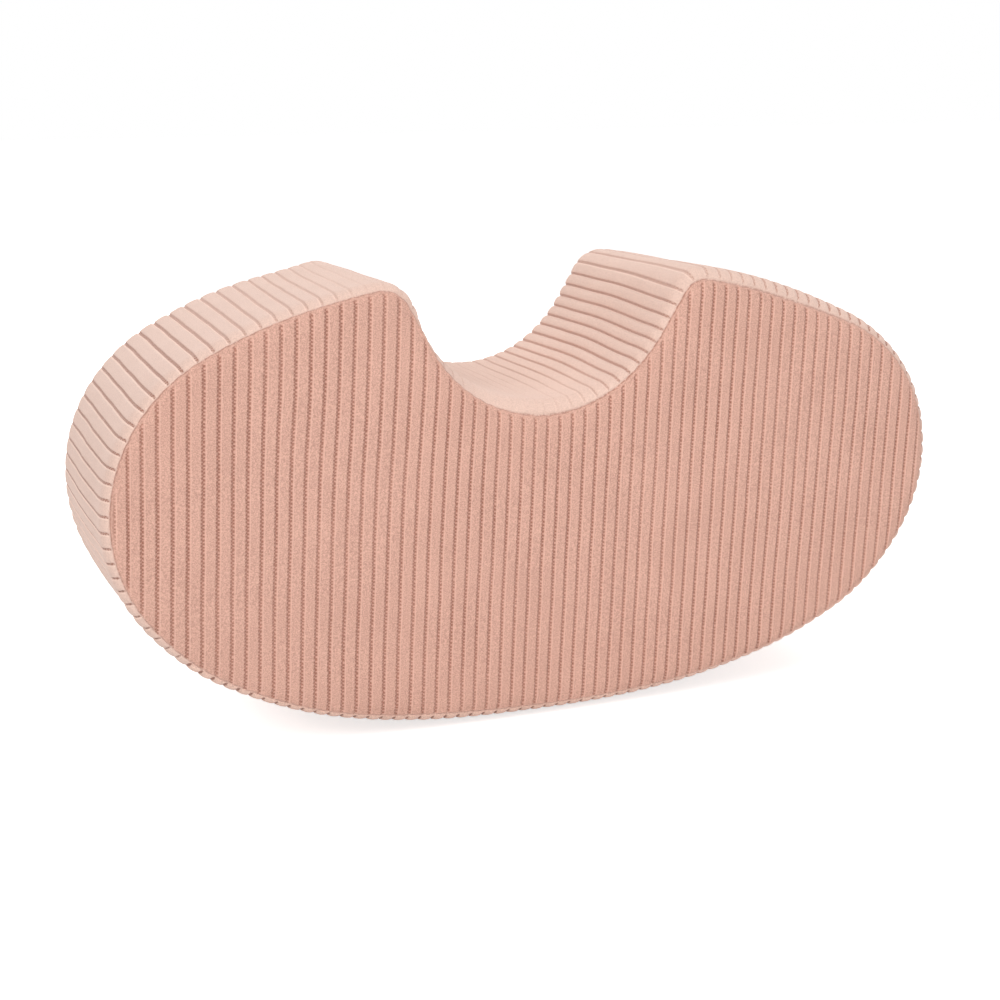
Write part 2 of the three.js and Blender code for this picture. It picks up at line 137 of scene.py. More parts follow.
def finder(x, z):
    """A search that gives each point's nearest place among x, z, and its distance."""
    tree = kdtree.KDTree(len(x))
    for k, point in enumerate(zip(x, z)):
        tree.insert((*point, 0.0), k)
    tree.balance()

    def nearest(px, pz):
        found = [tree.find((*point, 0.0)) for point in zip(px, pz)]
        return np.array([f[1] for f in found]), np.array([f[2] for f in found])
    return nearest


print("the seat's seam is", round(float(spot(HALF_LENGTH)[1]), 3), "m high")

# %% [markdown]
# Stuffed cloth never keeps to its pattern: the photographed cover is up to 6 mm fuller or tighter
# than even arcs. A cloth simulation would stray too, but at other places. So a table says where
# and how far, it is smoothed along the outline, and soft noise adds the small unevenness.

# %% Stray and soft helpers
# A length along the outline, then the front seam's, the front roll's and the back roll's
# distances outward, all in mm.
STRAY = mm * np.array((
    (-1021, -4, 2, 4.5), (-950, -2.5, 1, 4.5), (-900, 0.5, -2, 4.5), (-875, 1.6, 0.5, 5),
    (-850, 3, 2.6, 6), (-830, 2.4, 1, 3), (-800, 0.8, 0, -3), (-700, 2, 0.6, 0),
    (-630, 1.6, 0, -1.5), (-550, 1.2, 0, 1), (-450, -1, -1, 2), (-375, -5, -5.5, 2),
    (-345, -4.6, -4.6, 0), (-300, 1, 1, 0), (-235, 6, 5.6, 0), (-190, 5, 4.6, 0),
    (-100, -2, 0.6, 0), (-50, -4, -3, 0), (0, -4.8, -4, 0), (100, -1.6, -0.6, 0),
    (150, 1.8, 1.4, 0), (250, 4.6, 3.6, 0), (300, 1.4, 1.4, 0), (360, -3.4, -3.6, 0),
    (410, -2.6, -2.6, 0), (450, 0.5, 0.8, 0), (550, 3.6, 4.2, 0), (600, 2.4, 2.6, 0),
    (650, -1.4, 0.6, 0), (705, -6.2, -1, 0), (760, -4.8, 0, 0.5), (820, -3.4, 0.6, -1),
    (860, -1, 0.8, 0), (885, 1.8, 1, 4), (900, 2.6, 1, 4.5), (950, 0, 1, 4.5), (1021, -4, 2, 4.5)))
FRONT_SEAM, FRONT_ROLL, BACK_ROLL = 1, 2, 3
NEIGHBOURS = np.arange(-4, 5)[:, None] * 9 * mm


def stray(along, column):
    """One column of the table, evened out over its neighbours."""
    near = lap_of(along) + NEIGHBOURS
    return np.interp(near, STRAY[:, 0], STRAY[:, column]).mean(0)


def smooth(low, high, x):
    """0 below low, 1 above high, and smooth between them."""
    t = np.clip((x - low) / (high - low), 0, 1)
    return t * t * (3 - 2 * t)


def bell(x, middle, width):
    """1 at the middle, and less away from it."""
    return np.exp(-((x - middle) / width) ** 2)


def cloudy(points, size, seed):
    """Soft noise from -1 to 1 at each point; size is the size of its lumps."""
    shift = Vector((seed * 7.31, seed * 3.17, seed * 5.73))
    return np.array([clouds.noise(Vector(p) / size + shift) for p in points])


def waves(points, table):
    """Soft noise of several sizes; the table gives each size and height in mm, and its seed."""
    return sum(cloudy(points, size * mm, seed) * height * mm for size, height, seed in table)


print("the front seam strays up to", round(np.abs(STRAY[:, FRONT_SEAM]).max() / mm, 1), "mm")

# %% [markdown]
# Shader maths could be drawn as nodes in the editor, but it reads best as Python. A small class
# wraps an output socket, and its signs add the Math nodes.

# %% A class for sockets


class Wire:
    """An output socket of a node tree."""

    def __init__(self, nodes, socket):
        self.nodes, self.socket = nodes, socket

    def out(self, name):
        """Another output of the same node."""
        return Wire(self.nodes, self.socket.node.outputs[name])

    def maths(self, operation, *values):
        return self.nodes.node("ShaderNodeMath", {"operation": operation},
                               dict(enumerate(values)))

    def __add__(self, other): return self.maths("ADD", self, other)
    __radd__ = __add__
    def __sub__(self, other): return self.maths("SUBTRACT", self, other)
    def __rsub__(self, other): return self.maths("SUBTRACT", other, self)
    def __mul__(self, other): return self.maths("MULTIPLY", self, other)
    __rmul__ = __mul__
    def fraction(self): return self.maths("FRACT", self)
    def size(self): return self.maths("ABSOLUTE", self)
    def at_least(self, other): return self.maths("MAXIMUM", self, other)

    def steps(self, low, high):
        """0 below low, 1 above high, and smooth between them."""
        return self.nodes.node("ShaderNodeMapRange", {"interpolation_type": "SMOOTHSTEP"},
                               {"Value": self, "From Min": low, "From Max": high})


print("a wire knows:", ", ".join(k for k in vars(Wire) if not k.startswith("__")))

# %% [markdown]
# Every other node comes from one method, which takes the node's type, its settings, and the values
# or wires of its sockets. The materials, the floor and the world all use it. Mix has several
# sockets of one name, so a socket is found by its number, its identifier or its name.

# %% A class for node trees


def socket_of(sockets, key):
    if isinstance(key, int):
        return sockets[key]
    return next(s for s in sockets if key in (s.identifier, s.name))


class Nodes:
    """A node tree."""

    def __init__(self, tree):
        self.tree = tree

    def fill(self, node, sockets):
        for key, given in sockets.items():
            socket = socket_of(node.inputs, key)
            if isinstance(given, Wire):
                self.tree.links.new(given.socket, socket)
            else:
                socket.default_value = given

    def node(self, kind, settings=None, sockets=None, out=0):
        node = self.tree.nodes.new(kind)
        for name, setting in (settings or {}).items():
            setattr(node, name, setting)
        self.fill(node, sockets or {})
        return Wire(self, socket_of(node.outputs, out)) if node.outputs else None

    def mix(self, factor, a, b):
        """Colour a where the factor is 0, and b where it is 1."""
        return self.node("ShaderNodeMix", {"data_type": "RGBA", "clamp_factor": True},
                         {"Factor_Float": factor, "A_Color": a, "B_Color": b}, "Result_Color")

    def bump(self, height, distance, strength):
        return self.node("ShaderNodeBump", {}, {"Height": height, "Distance": distance,
                                                "Strength": strength})

    def lumps(self, place, size, detail=2.0, roughness=0.5):
        """Noise from 0 to 1; size is the size of its lumps."""
        return self.node("ShaderNodeTexNoise", {}, {
            "Vector": place, "Scale": 1 / size, "Detail": detail, "Roughness": roughness}, "Fac")


class Finish(Nodes):
    """A material and its shader."""

    def __init__(self, name, sockets):
        self.material = bpy.data.materials.new(name)
        self.material.use_nodes = True
        super().__init__(self.material.node_tree)
        self.shader = self.tree.nodes["Principled BSDF"]
        self.fill(self.shader, sockets)

    def place(self):
        return self.node("ShaderNodeTexCoord", out="Object")

    def pattern(self):
        """The two parts of the piece's own map."""
        flat = self.node("ShaderNodeUVMap", {"uv_map": "ribs"})
        parts = self.node("ShaderNodeSeparateXYZ", {}, {"Vector": flat})
        return parts.out("X"), parts.out("Y")


def colour(r, g, b):
    """A colour of the screen, 0 to 255, as the shader's light values."""
    def straight(v):
        v /= 255
        return v / 12.92 if v <= 0.04045 else ((v + 0.055) / 1.055) ** 2.4
    return (straight(r), straight(g), straight(b), 1.0)


print("middle grey is", round(colour(128, 128, 128)[0], 3), "in the shader")

# %% [markdown]
# Velour has a short, dense pile: matt, a little brighter where it is seen along the surface, and
# mottled because the pile lies in many directions. Between two ribs the pile is missing and the
# knitted ground shows as a dark line of small ticks. Its colour is partly the ground's own and
# partly painted shade in the groove, laid over the groove's shaded wall. The edge of the rib beyond
# it gets a painted highlight. An image could show this, but a pattern made of nodes stays sharp at
# any distance. It is drawn in each piece's own map, where U counts ribs and V is the length along
# them, so it follows the cloth. Two attributes of the mesh say how deep the groove is and where the
# seam runs; along the seam a broken dark line of painted shade marks the crease. The band's copy of
# the velour is painted paler for its sheen and top light, and the copy underneath for the light
# bounced up from the floor.

# %% Velour
RIB = 12.26 * mm        # from one groove to the next
STITCH = 3.2 * mm       # from one tick of the ground to the next
# The painted line covers the groove's wall that lies in shade, so its darkness is partly painted
# shade.
GROOVE_SHIFT = 0.045    # the painted line sits a little right of the groove's bottom


def velour(name, pile, ground_and_shade, line_width, tick_share, speckle, painted_edge_highlight):
    """Colours of the pile and of the groove line (the knit's own colour with painted shade); how
    wide the line in a groove is, in mm, how much of it is broken into ticks, how mottled the pile
    is, and how bright the painted highlight on the edge beyond the groove is."""
    made = Finish(name, {"Roughness": 0.92, "Sheen Weight": 0.25, "Sheen Roughness": 0.45,
                         "Sheen Tint": (1.0, 0.93, 0.9, 1.0), "Specular IOR Level": 0.2})
    ribs, length = made.pattern()
    depth, seam = (made.node("ShaderNodeAttribute", {"attribute_name": key}, out="Fac")
                   for key in ("groove", "seam"))
    place = made.place()

    def lumps(size, detail=2.0):
        return made.lumps(place, size * mm, detail, 0.6)

    # The dark line in a groove, the knit's colour with painted shade, and the painted highlight on
    # the edge of the rib beyond it.
    right_of_it = (ribs + GROOVE_SHIFT).fraction()
    from_groove = (0.5 - (right_of_it - 0.5).size()) * (RIB / mm)
    rough = lumps(1.3) - 0.5
    line = (1 - (from_groove + rough).steps(line_width * 0.75, line_width * 1.25)) * depth
    past = (right_of_it * (RIB / mm) + rough - line_width).size()
    painted_highlight = (1 - past.steps(0.7, 1.5)) * depth * painted_edge_highlight
    # The ground's ticks, half a tick apart on the two sides of a groove, and the thread line: a
    # broken dark line of painted shade in the seam's crease.
    stitch = length * (1 / STITCH) + right_of_it.steps(0.45, 0.55) * 0.5 + lumps(6) * 1.5
    ticks = ((stitch.fraction() - 0.5).size() * 2).steps(0.2, 0.7)
    thread = seam * lumps(2.8).steps(0.36, 0.6)
    dark = (line * (1 - tick_share + ticks * tick_share)).at_least(thread * 0.8)

    # The pile is mottled at three sizes, from its darker to its paler tone, and the painted
    # highlight lifts the rib's edge towards the paler one.
    mottle = (lumps(1.1, 1.0) - 0.5) * 1.9 + (lumps(2.2, 1.0) - 0.5) * 0.6
    drift = (lumps(45, 1.0) - 0.5) * 0.4
    level = (mottle + drift) * speckle + painted_highlight + 0.5
    light = [min(1.0, v * 1.24) for v in pile[:3]] + [1]
    shade = [v * k for v, k in zip(pile, (0.84, 0.79, 0.78))] + [1]
    body = made.mix(level, shade, light)
    height = lumps(0.9, 3.0) + lumps(2.0) * 0.7 - dark * 1.2
    made.fill(made.shader, {"Base Color": made.mix(dark, body, ground_and_shade),
                            "Normal": made.bump(height, 0.5 * mm, 0.8)})
    return made.material


panel_velour = velour("ribbed velour", colour(204, 162, 146), colour(172, 121, 104),
                      line_width=1.7, tick_share=0.95, speckle=1.0, painted_edge_highlight=0.75)
# Underneath is the same cloth, painted paler for the light that bounces up from the floor.
base_velour_painted_paler = velour("ribbed velour underneath, painted paler for bounce light", colour(228, 194, 178), colour(168, 119, 103),
                     line_width=1.5, tick_share=0.3, speckle=1.0, painted_edge_highlight=0.1)
# The band is the same cloth as the panels, painted paler for the sheen and the stronger top light
# on it.
band_velour_painted_paler = velour("ribbed velour of the band", colour(219, 190, 176), colour(174, 126, 110),
                     line_width=1.0, tick_share=0.6, speckle=0.45, painted_edge_highlight=0.55)
print("velour made, with ribs", round(RIB / mm, 2), "mm wide")

# %% [markdown]
# The cover's pieces are sheets of cloth. Cloth stretched over a firm block keeps to the block, and
# the rolled edges and seam puckers are finer than a simulation keeps, so each piece starts as a
# flat grid and a formula lays the grid on the block. It has one column for every line along a
# rib and one row for every line across. Columns stand close together in the grooves and further
# apart on the ribs.

# %% A sheet of cloth from a grid


def weld(mesh):
    """Merges the points that lie on each other, as at the tips of a panel."""
    bm = bmesh.new()
    bm.from_mesh(mesh)
    bmesh.ops.remove_doubles(bm, verts=bm.verts, dist=1e-6)
    bm.to_mesh(mesh)
    bm.free()


def cloth(name, us, vs, place, material, turned=False):
    """A grid with columns us and rows vs. For each point, place gives x, y, z, the two numbers of
    the map, and then the groove's and the seam's shares where the finish needs them."""
    bm = bmesh.new()
    bmesh.ops.create_grid(bm, x_segments=len(us) - 1, y_segments=len(vs) - 1, size=0.5)
    if turned:
        bmesh.ops.reverse_faces(bm, faces=bm.faces)
    mesh = bpy.data.meshes.new(name)
    bm.to_mesh(mesh)
    bm.free()
    flat = np.zeros(len(mesh.vertices) * 3)
    mesh.vertices.foreach_get("co", flat)
    column, row = (np.rint((flat[k::3] + 0.5) * (len(lines) - 1)).astype(int)
                   for k, lines in enumerate((us, vs)))
    x, y, z, across, length, *shares = place(np.asarray(us)[column], np.asarray(vs)[row])
    mesh.vertices.foreach_set("co", np.c_[x, y, z].ravel())
    corners = np.zeros(len(mesh.loops), int)
    mesh.loops.foreach_get("vertex_index", corners)
    mesh.uv_layers.new(name="ribs").data.foreach_set(
        "uv", np.c_[across[corners], length[corners]].ravel())
    for key, share in zip(("groove", "seam"), shares):
        mesh.attributes.new(key, "FLOAT", "POINT").data.foreach_set("value", share)
    mesh.polygons.foreach_set("use_smooth", np.ones(len(mesh.polygons), bool))
    mesh.materials.append(material)
    weld(mesh)
    print(name, sum(len(p.vertices) - 2 for p in mesh.polygons), "triangles")
    return placed(name, mesh)


def roll(distance, height, run):
    """The height of a quarter of an ellipse, at a distance from its foot."""
    t = np.clip(1 - distance / run, 0, 1)
    return height * np.sqrt(np.clip(1 - t * t, 0, 1))


print("a roll 9 mm high is", round(roll(2, 9, 16), 1), "mm high after 2 mm")

# %% [markdown]
# The band runs round the edge of the block, and its ribs cross it from front to back. The cloth
# stretches by a quarter over the left shoulder, so the ribs aren't even: their grooves were counted
# in the photograph, and a table gives each counted groove its length along the outline. In some
# stretches the cloth is pulled askew, or so taut that its grooves fade.

# %% Where the band's ribs are
WALES = np.array((
    (-1020.6, -79), (-810, -62), (-786, -60), (-746, -57), (-701, -54), (-655, -51), (-609, -48),
    (-566, -45), (-526, -42), (-484, -39), (-445, -36), (0, 0.5), (852, 70), (903, 74),
    (954, 78), (980, 80), (1020.6, 83)))
WALES_ROUND = WALES[-1, 1] - WALES[0, 1]

# A stretch lies on the right (1) or the left (-1). It starts, is full, begins to end, and ends.
STRETCHES = {"hollow": (-1, 0.85, 0.875, 0.94, 1.0), "wall": (1, 0.84, 0.88, 0.94, 0.99),
             "taut": (-1, 0.44, 0.5, 0.6, 0.68), "curl": (-1, 0.38, 0.44, 0.5, 0.6),
             "low left": (-1, 0.3, 0.4, 0.6, 0.68)}


def stretch(name, along):
    """1 within a named stretch of the band, and 0 outside it."""
    side, start, full, last, end = STRETCHES[name]
    near = side * lap_of(along)
    return smooth(start, full, near) * (1 - smooth(last, end, near))


def wale(along):
    """The number of the groove at a length along the band."""
    laps = np.round(along / (2 * HALF_LENGTH))
    return np.interp(lap_of(along), WALES[:, 0] * mm, WALES[:, 1]) + laps * WALES_ROUND


def slide(along, y):
    """How far the ribs are pulled along the band: askew on the left, hooked beside the seat."""
    lap = lap_of(along)
    places = [-0.85, -0.79, -0.74, -0.69, -0.62, -0.47, -0.4]
    askew = np.interp(lap, places, [0, 6.2, 6, 3, 1, -0.3, 0]) * y / -0.095
    shift = np.interp(lap, places, [0, -1, -1, 0, 1.3, 1.3, 0])
    hook = smooth(0.8, 0.86, lap) * (1 - smooth(-0.125, 0.02, y)) * 6
    far = smooth(0.9, 0.95, lap) * smooth(-0.05, 0.05, y) * 2.5
    curl = stretch("curl", along) * smooth(0.08, 0.13, -y) * -4
    return (askew + shift + hook + far + curl) * mm


def band_strength(along, y):
    """How deep the grooves are: 1 on most of the band, less where the cloth is stretched."""
    lap = lap_of(along)
    right_side = np.interp(lap, [0, 0.62, 0.74, 0.80, 0.835, 0.86, 0.93, 1.0, 1.021],
                           [1, 1, 0.75, 0.45, 0.6, 1, 1, 0.5, 0.3])
    left_side = np.interp(-lap, [0, 0.64, 0.70, 0.775, 0.815, 0.85, 0.90, 0.96, 1.021],
                          [1, 1, 0.8, 0.6, 0.12, 0.6, 0.6, 0.12, 0.3])
    floor = smooth(0.93, 1.0, np.abs(lap))
    front = 1 - floor * 0.6 * (1 - smooth(-0.1, 0.01, y))
    return np.where(lap >= 0, right_side, left_side) * front


print(int(WALES_ROUND), "ribs round the band")

# %% [markdown]
# The stuffed cover is rounder than the seam: from each seam the cloth rolls outward through a
# quarter of an ellipse, about 9 mm high and 16 mm wide. The ribs are broad and soft, with a thin
# groove between them. A displacement modifier could press the grooves in, but the formula already
# knows every point's place on its rib, so it also gives the height.

# %% How far out the band lies
CROWN, CROWN_RUN = 8.8 * mm, 15.7 * mm
HOLLOW_RUN = 32 * mm
BAND_DEPTH = 2.3 * mm
BAND_WAVES = ((95, 1.3, 5), (26, 0.35, 8))
PUCKER = 0.55 * mm


def cover_height(along, y, d):
    """How far out the cloth lies, without its ribs, at a distance d from the nearer seam."""
    front = 1 - smooth(-0.09, 0.06, y)
    seam = stray(along, FRONT_SEAM) * front
    high = CROWN + stray(along, FRONT_ROLL) * front + stray(along, BACK_ROLL) * (1 - front) - seam
    hollow = stretch("hollow", along) * (y < 0)
    rise = roll(d, 1, CROWN_RUN) * (1 - hollow) + hollow * np.sin(
        np.pi / 2 * np.clip(d / HOLLOW_RUN, 0, 1))
    return seam + high * rise


def groove_drop(along):
    """How far a full groove is pressed in: a thin line, and the rib's own roundness."""
    to_groove = np.abs((wale(along) + 0.5) % 1 - 0.5) * RIB
    line = bell(to_groove, 0, 1.15 * mm)
    round_rib = np.clip(1 - to_groove / (RIB / 2), 0, 1) ** 2
    wall = stretch("wall", along)
    relief = 1 - 0.6 * stretch("taut", along) + 0.6 * wall
    return BAND_DEPTH * (0.55 * line * (1 - 0.35 * wall) + 0.45 * round_rib) * relief


def puckers(along, across, d, size, seed, run, full):
    """The small gathers of the stitches. They begin between the two distances of full, and die
    away from the seam over run. Sizes are in mm."""
    gathers = cloudy(np.c_[along, across, 0 * across], size * mm, seed) * PUCKER
    return gathers * smooth(full[0] * mm, full[1] * mm, d) * np.exp(-d / (run * mm))


print("the middle of the seat lies", round(float(cover_height(
    np.array([HALF_LENGTH]), np.zeros(1), np.array([HALF_SPAN]))[0]) / mm, 1), "mm above its seam")

# %% [markdown]
# Now a point of the band's grid can be laid: its height across gives y, its length along the band
# gives a spot on the outline, and the two lie out from it by the cloth's height. Real bands have an
# allowance behind the stitches. Here it is tucked in, so the seam is closed from every side, but it
# is only a sliver at the zip, where the slot would show it.

# %% Laying the band
ALLOWANCE = 7 * mm
ZIP_REACH = 252 * mm
NEAR = [0, 0.09, 0.35, 0.9, 1.7, 2.8, 4.2, 6.0, 8.3, 11.2, 15.0, 20.0]
EDGE_ROWS = np.r_[-7, -2, -0.4, NEAR] * mm
MIDDLE_ROWS = np.linspace(30 * mm, HALF_SPAN, 9)
ACROSS = np.r_[EDGE_ROWS, MIDDLE_ROWS, SEAM_SPAN - MIDDLE_ROWS[-2::-1], SEAM_SPAN - EDGE_ROWS[::-1]]


def band_place(along, across):
    """x, y, z, the map, the groove's share and the seam's for points of the band."""
    y = np.clip(across, 0, SEAM_SPAN) - HALF_SPAN
    from_seam = np.minimum(across, SEAM_SPAN - across)
    d = np.clip(from_seam, 0, None)
    at_zip = (np.abs(lap_of(along)) < ZIP_REACH) & (across > HALF_SPAN)
    tucked = np.clip(-from_seam, 0, None) * np.where(at_zip, 0.1, 1)
    x0, z0, _, _ = spot(along)
    points = np.c_[x0, y, z0]
    share = band_strength(along, y) * smooth(0.1 * mm, np.where(z0 < 0.06, 2.5, 1.5) * mm, d)
    soft = waves(points, BAND_WAVES) * smooth(3 * mm, 40 * mm, d)
    gathers = puckers(along * 1.6, y * 0.5, d, 9, 11, 9, (0, 2.5))
    out = cover_height(along, y, d) - groove_drop(along) * share + soft + gathers - tucked
    wobble = waves(points, ((70, 0.8, 3),)) * smooth(0, 25 * mm, d)
    x, z, _, _ = spot(along + wobble + slide(along, y), out)
    y = np.where(tucked > 0, np.sign(y) * (HALF_SPAN - 0.25 * mm), y)
    # How dark the groove's painted line is (the knit's colour with painted shade): stronger in the
    # low left stretch, weaker on the wall and from the left shoulder on.
    shown = share * (1 + 0.3 * stretch("low left", along) - 0.3 * stretch("wall", along)
                     - 0.25 * smooth(0.64, 0.7, -lap_of(along)))
    # The seam's share marks where the painted shade of the seam's crease falls.
    seam = np.interp(from_seam / mm, [-2, -0.4, 0, 0.09, 0.35], [0, 0.4, 1, 0.6, 0])
    return x, y, np.maximum(z, 0.0), wale(along), across, shown, seam


print(len(ACROSS), "rows across the band")

# %% [markdown]
# One strip would be longer than the cloth is wide, so the real band is two: one along the bottom
# and one over the ends, the humps and the seat. Their joins are under the ends, as on the packed
# solids.

# %% The two strips of the band
RIB_COUNT = round(2 * HALF_LENGTH / RIB)
JOIN_RIBS = 28.5        # even ribs from the middle of the bottom to a join
JOIN = JOIN_RIBS * 2 * HALF_LENGTH / RIB_COUNT
BAND_OFFSETS = (-4.6, -3.2, -2.1, -1.4, -0.9, -0.45, 0, 0.45, 0.9, 1.4, 2.1, 3.2, 4.6, 6.15)


def band_piece(name, start, end, material):
    """A strip of the band from one join to the other, with columns round each groove."""
    fine = np.arange(start, end, 0.5 * mm)
    numbers = wale(fine)
    grooves = np.arange(math.floor(numbers[0]), math.ceil(numbers[-1]) + 1)
    parts = grooves[:, None] + np.asarray(BAND_OFFSETS)[None] * mm / RIB
    lines = np.interp(parts.ravel(), numbers, fine)
    lines = np.unique(np.round(lines[(lines > start + mm) & (lines < end - mm)], 6))
    piece = cloth(name, np.r_[start, lines, end], ACROSS, band_place, material, turned=True)
    return piece, (end - start, SEAM_SPAN + 2 * (CROWN + ALLOWANCE))


base_band, base_flat = band_piece("base_band_cloth", -JOIN, JOIN, base_velour_painted_paler)
seat_band, seat_flat = band_piece("seat_band_cloth", JOIN, 2 * HALF_LENGTH - JOIN, band_velour_painted_paler)
print("strips", round(base_flat[0], 3), "and", round(seat_flat[0], 3), "m long")

# %% [markdown]
# A side panel is one flat piece of cloth, sewn to the band all round. Its ribs stand upright and
# nearly flat-topped, and lean a few degrees because the cloth was cut a little off its grain. A
# projected pattern would not bend with the pulled cloth, so each column of the grid is one line
# along a rib, from the panel's lower edge to its upper edge.

# %% The edge of a side panel
PANEL_LIP = 0.9 * mm
SLOT_WIDTH, SLOT_REACH = 19.4 * mm, 250.4 * mm


class PanelEdge:
    """The panel's cut edge, turned so that its ribs stand upright: -1 is the front, 1 the back."""

    def __init__(self, lean, phase, side):
        self.lean, self.phase, self.side = math.radians(lean), phase, side
        self.along = np.arange(-HALF_LENGTH, HALF_LENGTH, 0.25 * mm)
        if side > 0:
            inside = np.abs(self.along) < SLOT_REACH
            out = np.where(inside, PANEL_LIP - SLOT_WIDTH, PANEL_LIP)
        else:
            wave = 0.3 * mm * np.cos(2 * np.pi * wale(self.along))
            out = PANEL_LIP - wave + stray(self.along, FRONT_SEAM)
        x, z, _, self.nz = spot(self.along, out)
        self.nearest = finder(x, z)
        a, b = self.turned(x, z)
        low, high = sorted((int(np.argmin(a)), int(np.argmax(a))))
        self.chains = []
        for chain in (np.arange(low, high + 1), np.r_[np.arange(high, len(a)), np.arange(low + 1)]):
            order = chain[np.argsort(a[chain], kind="stable")]
            self.chains.append((a[order], b[order]))
        self.ends = a.min(), a.max()

    def turned(self, x, z):
        c, s = math.cos(self.lean), math.sin(self.lean)
        return x * c - z * s, x * s + z * c

    def back(self, a, b):
        c, s = math.cos(self.lean), math.sin(self.lean)
        return a * c + b * s, b * c - a * s


front_edge = PanelEdge(3.275, -8.3 * mm, -1)
back_edge = PanelEdge(0.8, 5.0 * mm, 1)
print("front panel", round(front_edge.ends[1] - front_edge.ends[0], 3), "m wide")

# %% [markdown]
# The front panel's cloth is pulled sideways, towards the seat and most of all at the left tip, as
# the photographed ribs show. So a rib's two ends are found in a few rounds. Close to the seam the
# rows crowd together, because the panel rolls over its rim there.

# %% Lines along the panel's ribs
EDGE_STEPS = np.array([0, 0.4, 0.9, 1.5, 2.2, 3.1, 4.3, 5.8, 7.8, 10.5, 14.0]) * mm
MIDDLE_SHARES = np.linspace(0, 1, 13)[1:-1]
EDGE_COUNT, MIDDLE_COUNT = len(EDGE_STEPS), len(MIDDLE_SHARES)
LAST_ROW = 2 * EDGE_COUNT + MIDDLE_COUNT - 1


def pulled(edge, a, b):
    """How far the front's cloth is pulled sideways."""
    x, z = edge.back(a, b)
    pull = (3.0 * bell(x, -0.105, 0.10) - 2.2 * smooth(-0.28, -0.38, x)
            + 4.0 * bell(x, -0.125, 0.075) * smooth(0.18, 0.34, z)
            + 2.5 * bell(x, -0.225, 0.05) * smooth(0.24, 0.33, z)
            + 1.2 * smooth(0.22, 0.36, x)) * mm
    to_tip = np.minimum(a - edge.ends[0], edge.ends[1] - a)
    return pull * smooth(0.0, 30 * mm, to_tip) * (edge.side < 0)


def edge_height(edge, a, chain):
    """Where the line a of a rib meets the lower or the upper edge."""
    b = np.interp(a, *chain)
    for _ in range(5):
        b = np.interp(a + pulled(edge, a, b), *chain)
    return b


def up_the_rib(edge, a, row):
    """The height of each row on its line, and how far from an end its step puts it."""
    low, high = (edge_height(edge, a, chain) for chain in edge.chains)
    height = np.maximum(high - low, 0)
    scale = np.minimum(1, height / (2.6 * EDGE_STEPS[-1]))
    at_top, index = row >= EDGE_COUNT + MIDDLE_COUNT, np.minimum(row, LAST_ROW - row)
    inner = index >= EDGE_COUNT
    step = EDGE_STEPS[np.clip(index, 0, EDGE_COUNT - 1)] * scale
    rest = height - 2 * EDGE_STEPS[-1] * scale
    share = MIDDLE_SHARES[np.clip(row - EDGE_COUNT, 0, MIDDLE_COUNT - 1)]
    middle = EDGE_STEPS[-1] * scale + rest * share
    return low + np.where(inner, middle, np.where(at_top, height - step, step)), step, inner


print(LAST_ROW + 1, "rows on a panel, besides the two that are tucked in")

# %% [markdown]
# The panel's surface rolls over its rim like the band does, only flatter. The stitches pull a small
# dent behind a raised lip, the ribs have a faint pillow on both sides of their groove, and slow
# waves keep the big face from looking like a board.

# %% Laying a side panel
PANEL_CROWN, PANEL_RUN = 4.3 * mm, 14 * mm
PANEL_DEPTH = 1.5 * mm
PANEL_WAVES = ((120, 1.1, 23), (30, 0.3, 29))
TUCK = -0.9 * mm


def panel_depth(edge, a, points, d, near):
    """How far a point lies out from the seam's plane, and the share of a groove there."""
    to_groove = np.abs(((a - edge.phase) / RIB + 0.5) % 1 - 0.5) * RIB
    bottom = smooth(0.15, 0.6, -edge.nz[near])
    share = (smooth(-0.5 * mm, 0.8 * mm, d) * bottom
             + smooth(0.8 * mm, 4.2 * mm, d) * (1 - bottom))
    share *= 0.9 + 0.2 * cloudy(points, 60 * mm, 21)
    drop = PANEL_DEPTH * share * (1 - smooth(0.7 * mm, 1.9 * mm, to_groove))
    pillow = 0.22 * mm * share * bell(to_groove, 2.4 * mm, 0.7 * mm)
    lip = 0.25 * mm * bell(d, 1.6 * mm, 0.8 * mm)
    dent = 0.3 * mm * bell(d, 3.6 * mm, 1.3 * mm)
    soft = waves(points, PANEL_WAVES) * smooth(4 * mm, 30 * mm, d)
    gathers = puckers(edge.along[near] * 1.7, d * 0.4, d, 8, 31, 6, (0.3, 2))
    return roll(d, PANEL_CROWN, PANEL_RUN) - drop + pillow + lip - dent + soft + gathers, share


def panel_place(edge, a, row):
    """x, y, z, the map, the groove's share and the seam's for points of a panel."""
    row = np.rint(row).astype(int)
    tucked = (row < 0) | (row > LAST_ROW)
    b, step, inner = up_the_rib(edge, a, np.clip(row, 0, LAST_ROW))
    x, z = edge.back(a + pulled(edge, a, b), b)
    near, d = edge.nearest(x, z)
    d = np.where((step < 1e-9) & ~inner, 0.0, d)
    points = np.c_[x, np.full(len(x), edge.side * 0.12), z]
    depth, share = panel_depth(edge, a, points, d, near)
    depth = np.where(tucked, TUCK, depth)
    x = x + waves(points, ((42, 0.55, 37),)) * smooth(4 * mm, 25 * mm, d)
    # The seam's share marks where the painted shade of the seam's crease falls.
    seam = np.where(tucked, 1, 1 - smooth(0.0, 0.95 * mm, d))
    y = edge.side * (HALF_SPAN + depth)
    return x, y, np.maximum(z, 0.0), (a - edge.phase) / RIB, b, share, seam


print("the panel stands", round(PANEL_CROWN / mm, 1), "mm out from its seam")

# %% [markdown]
# Both panels come from the same steps. The back one keeps to the even outline and gives way to the
# zip's slot along its lower edge.

# %% The two side panels
PANEL_OFFSETS = (-3.1, -2.4, -1.9, -1.3, -0.7, 0, 0.7, 1.3, 1.9, 2.4, 3.1, 4.4, 6.13, 7.86)
END_RADIUS = 154 * mm


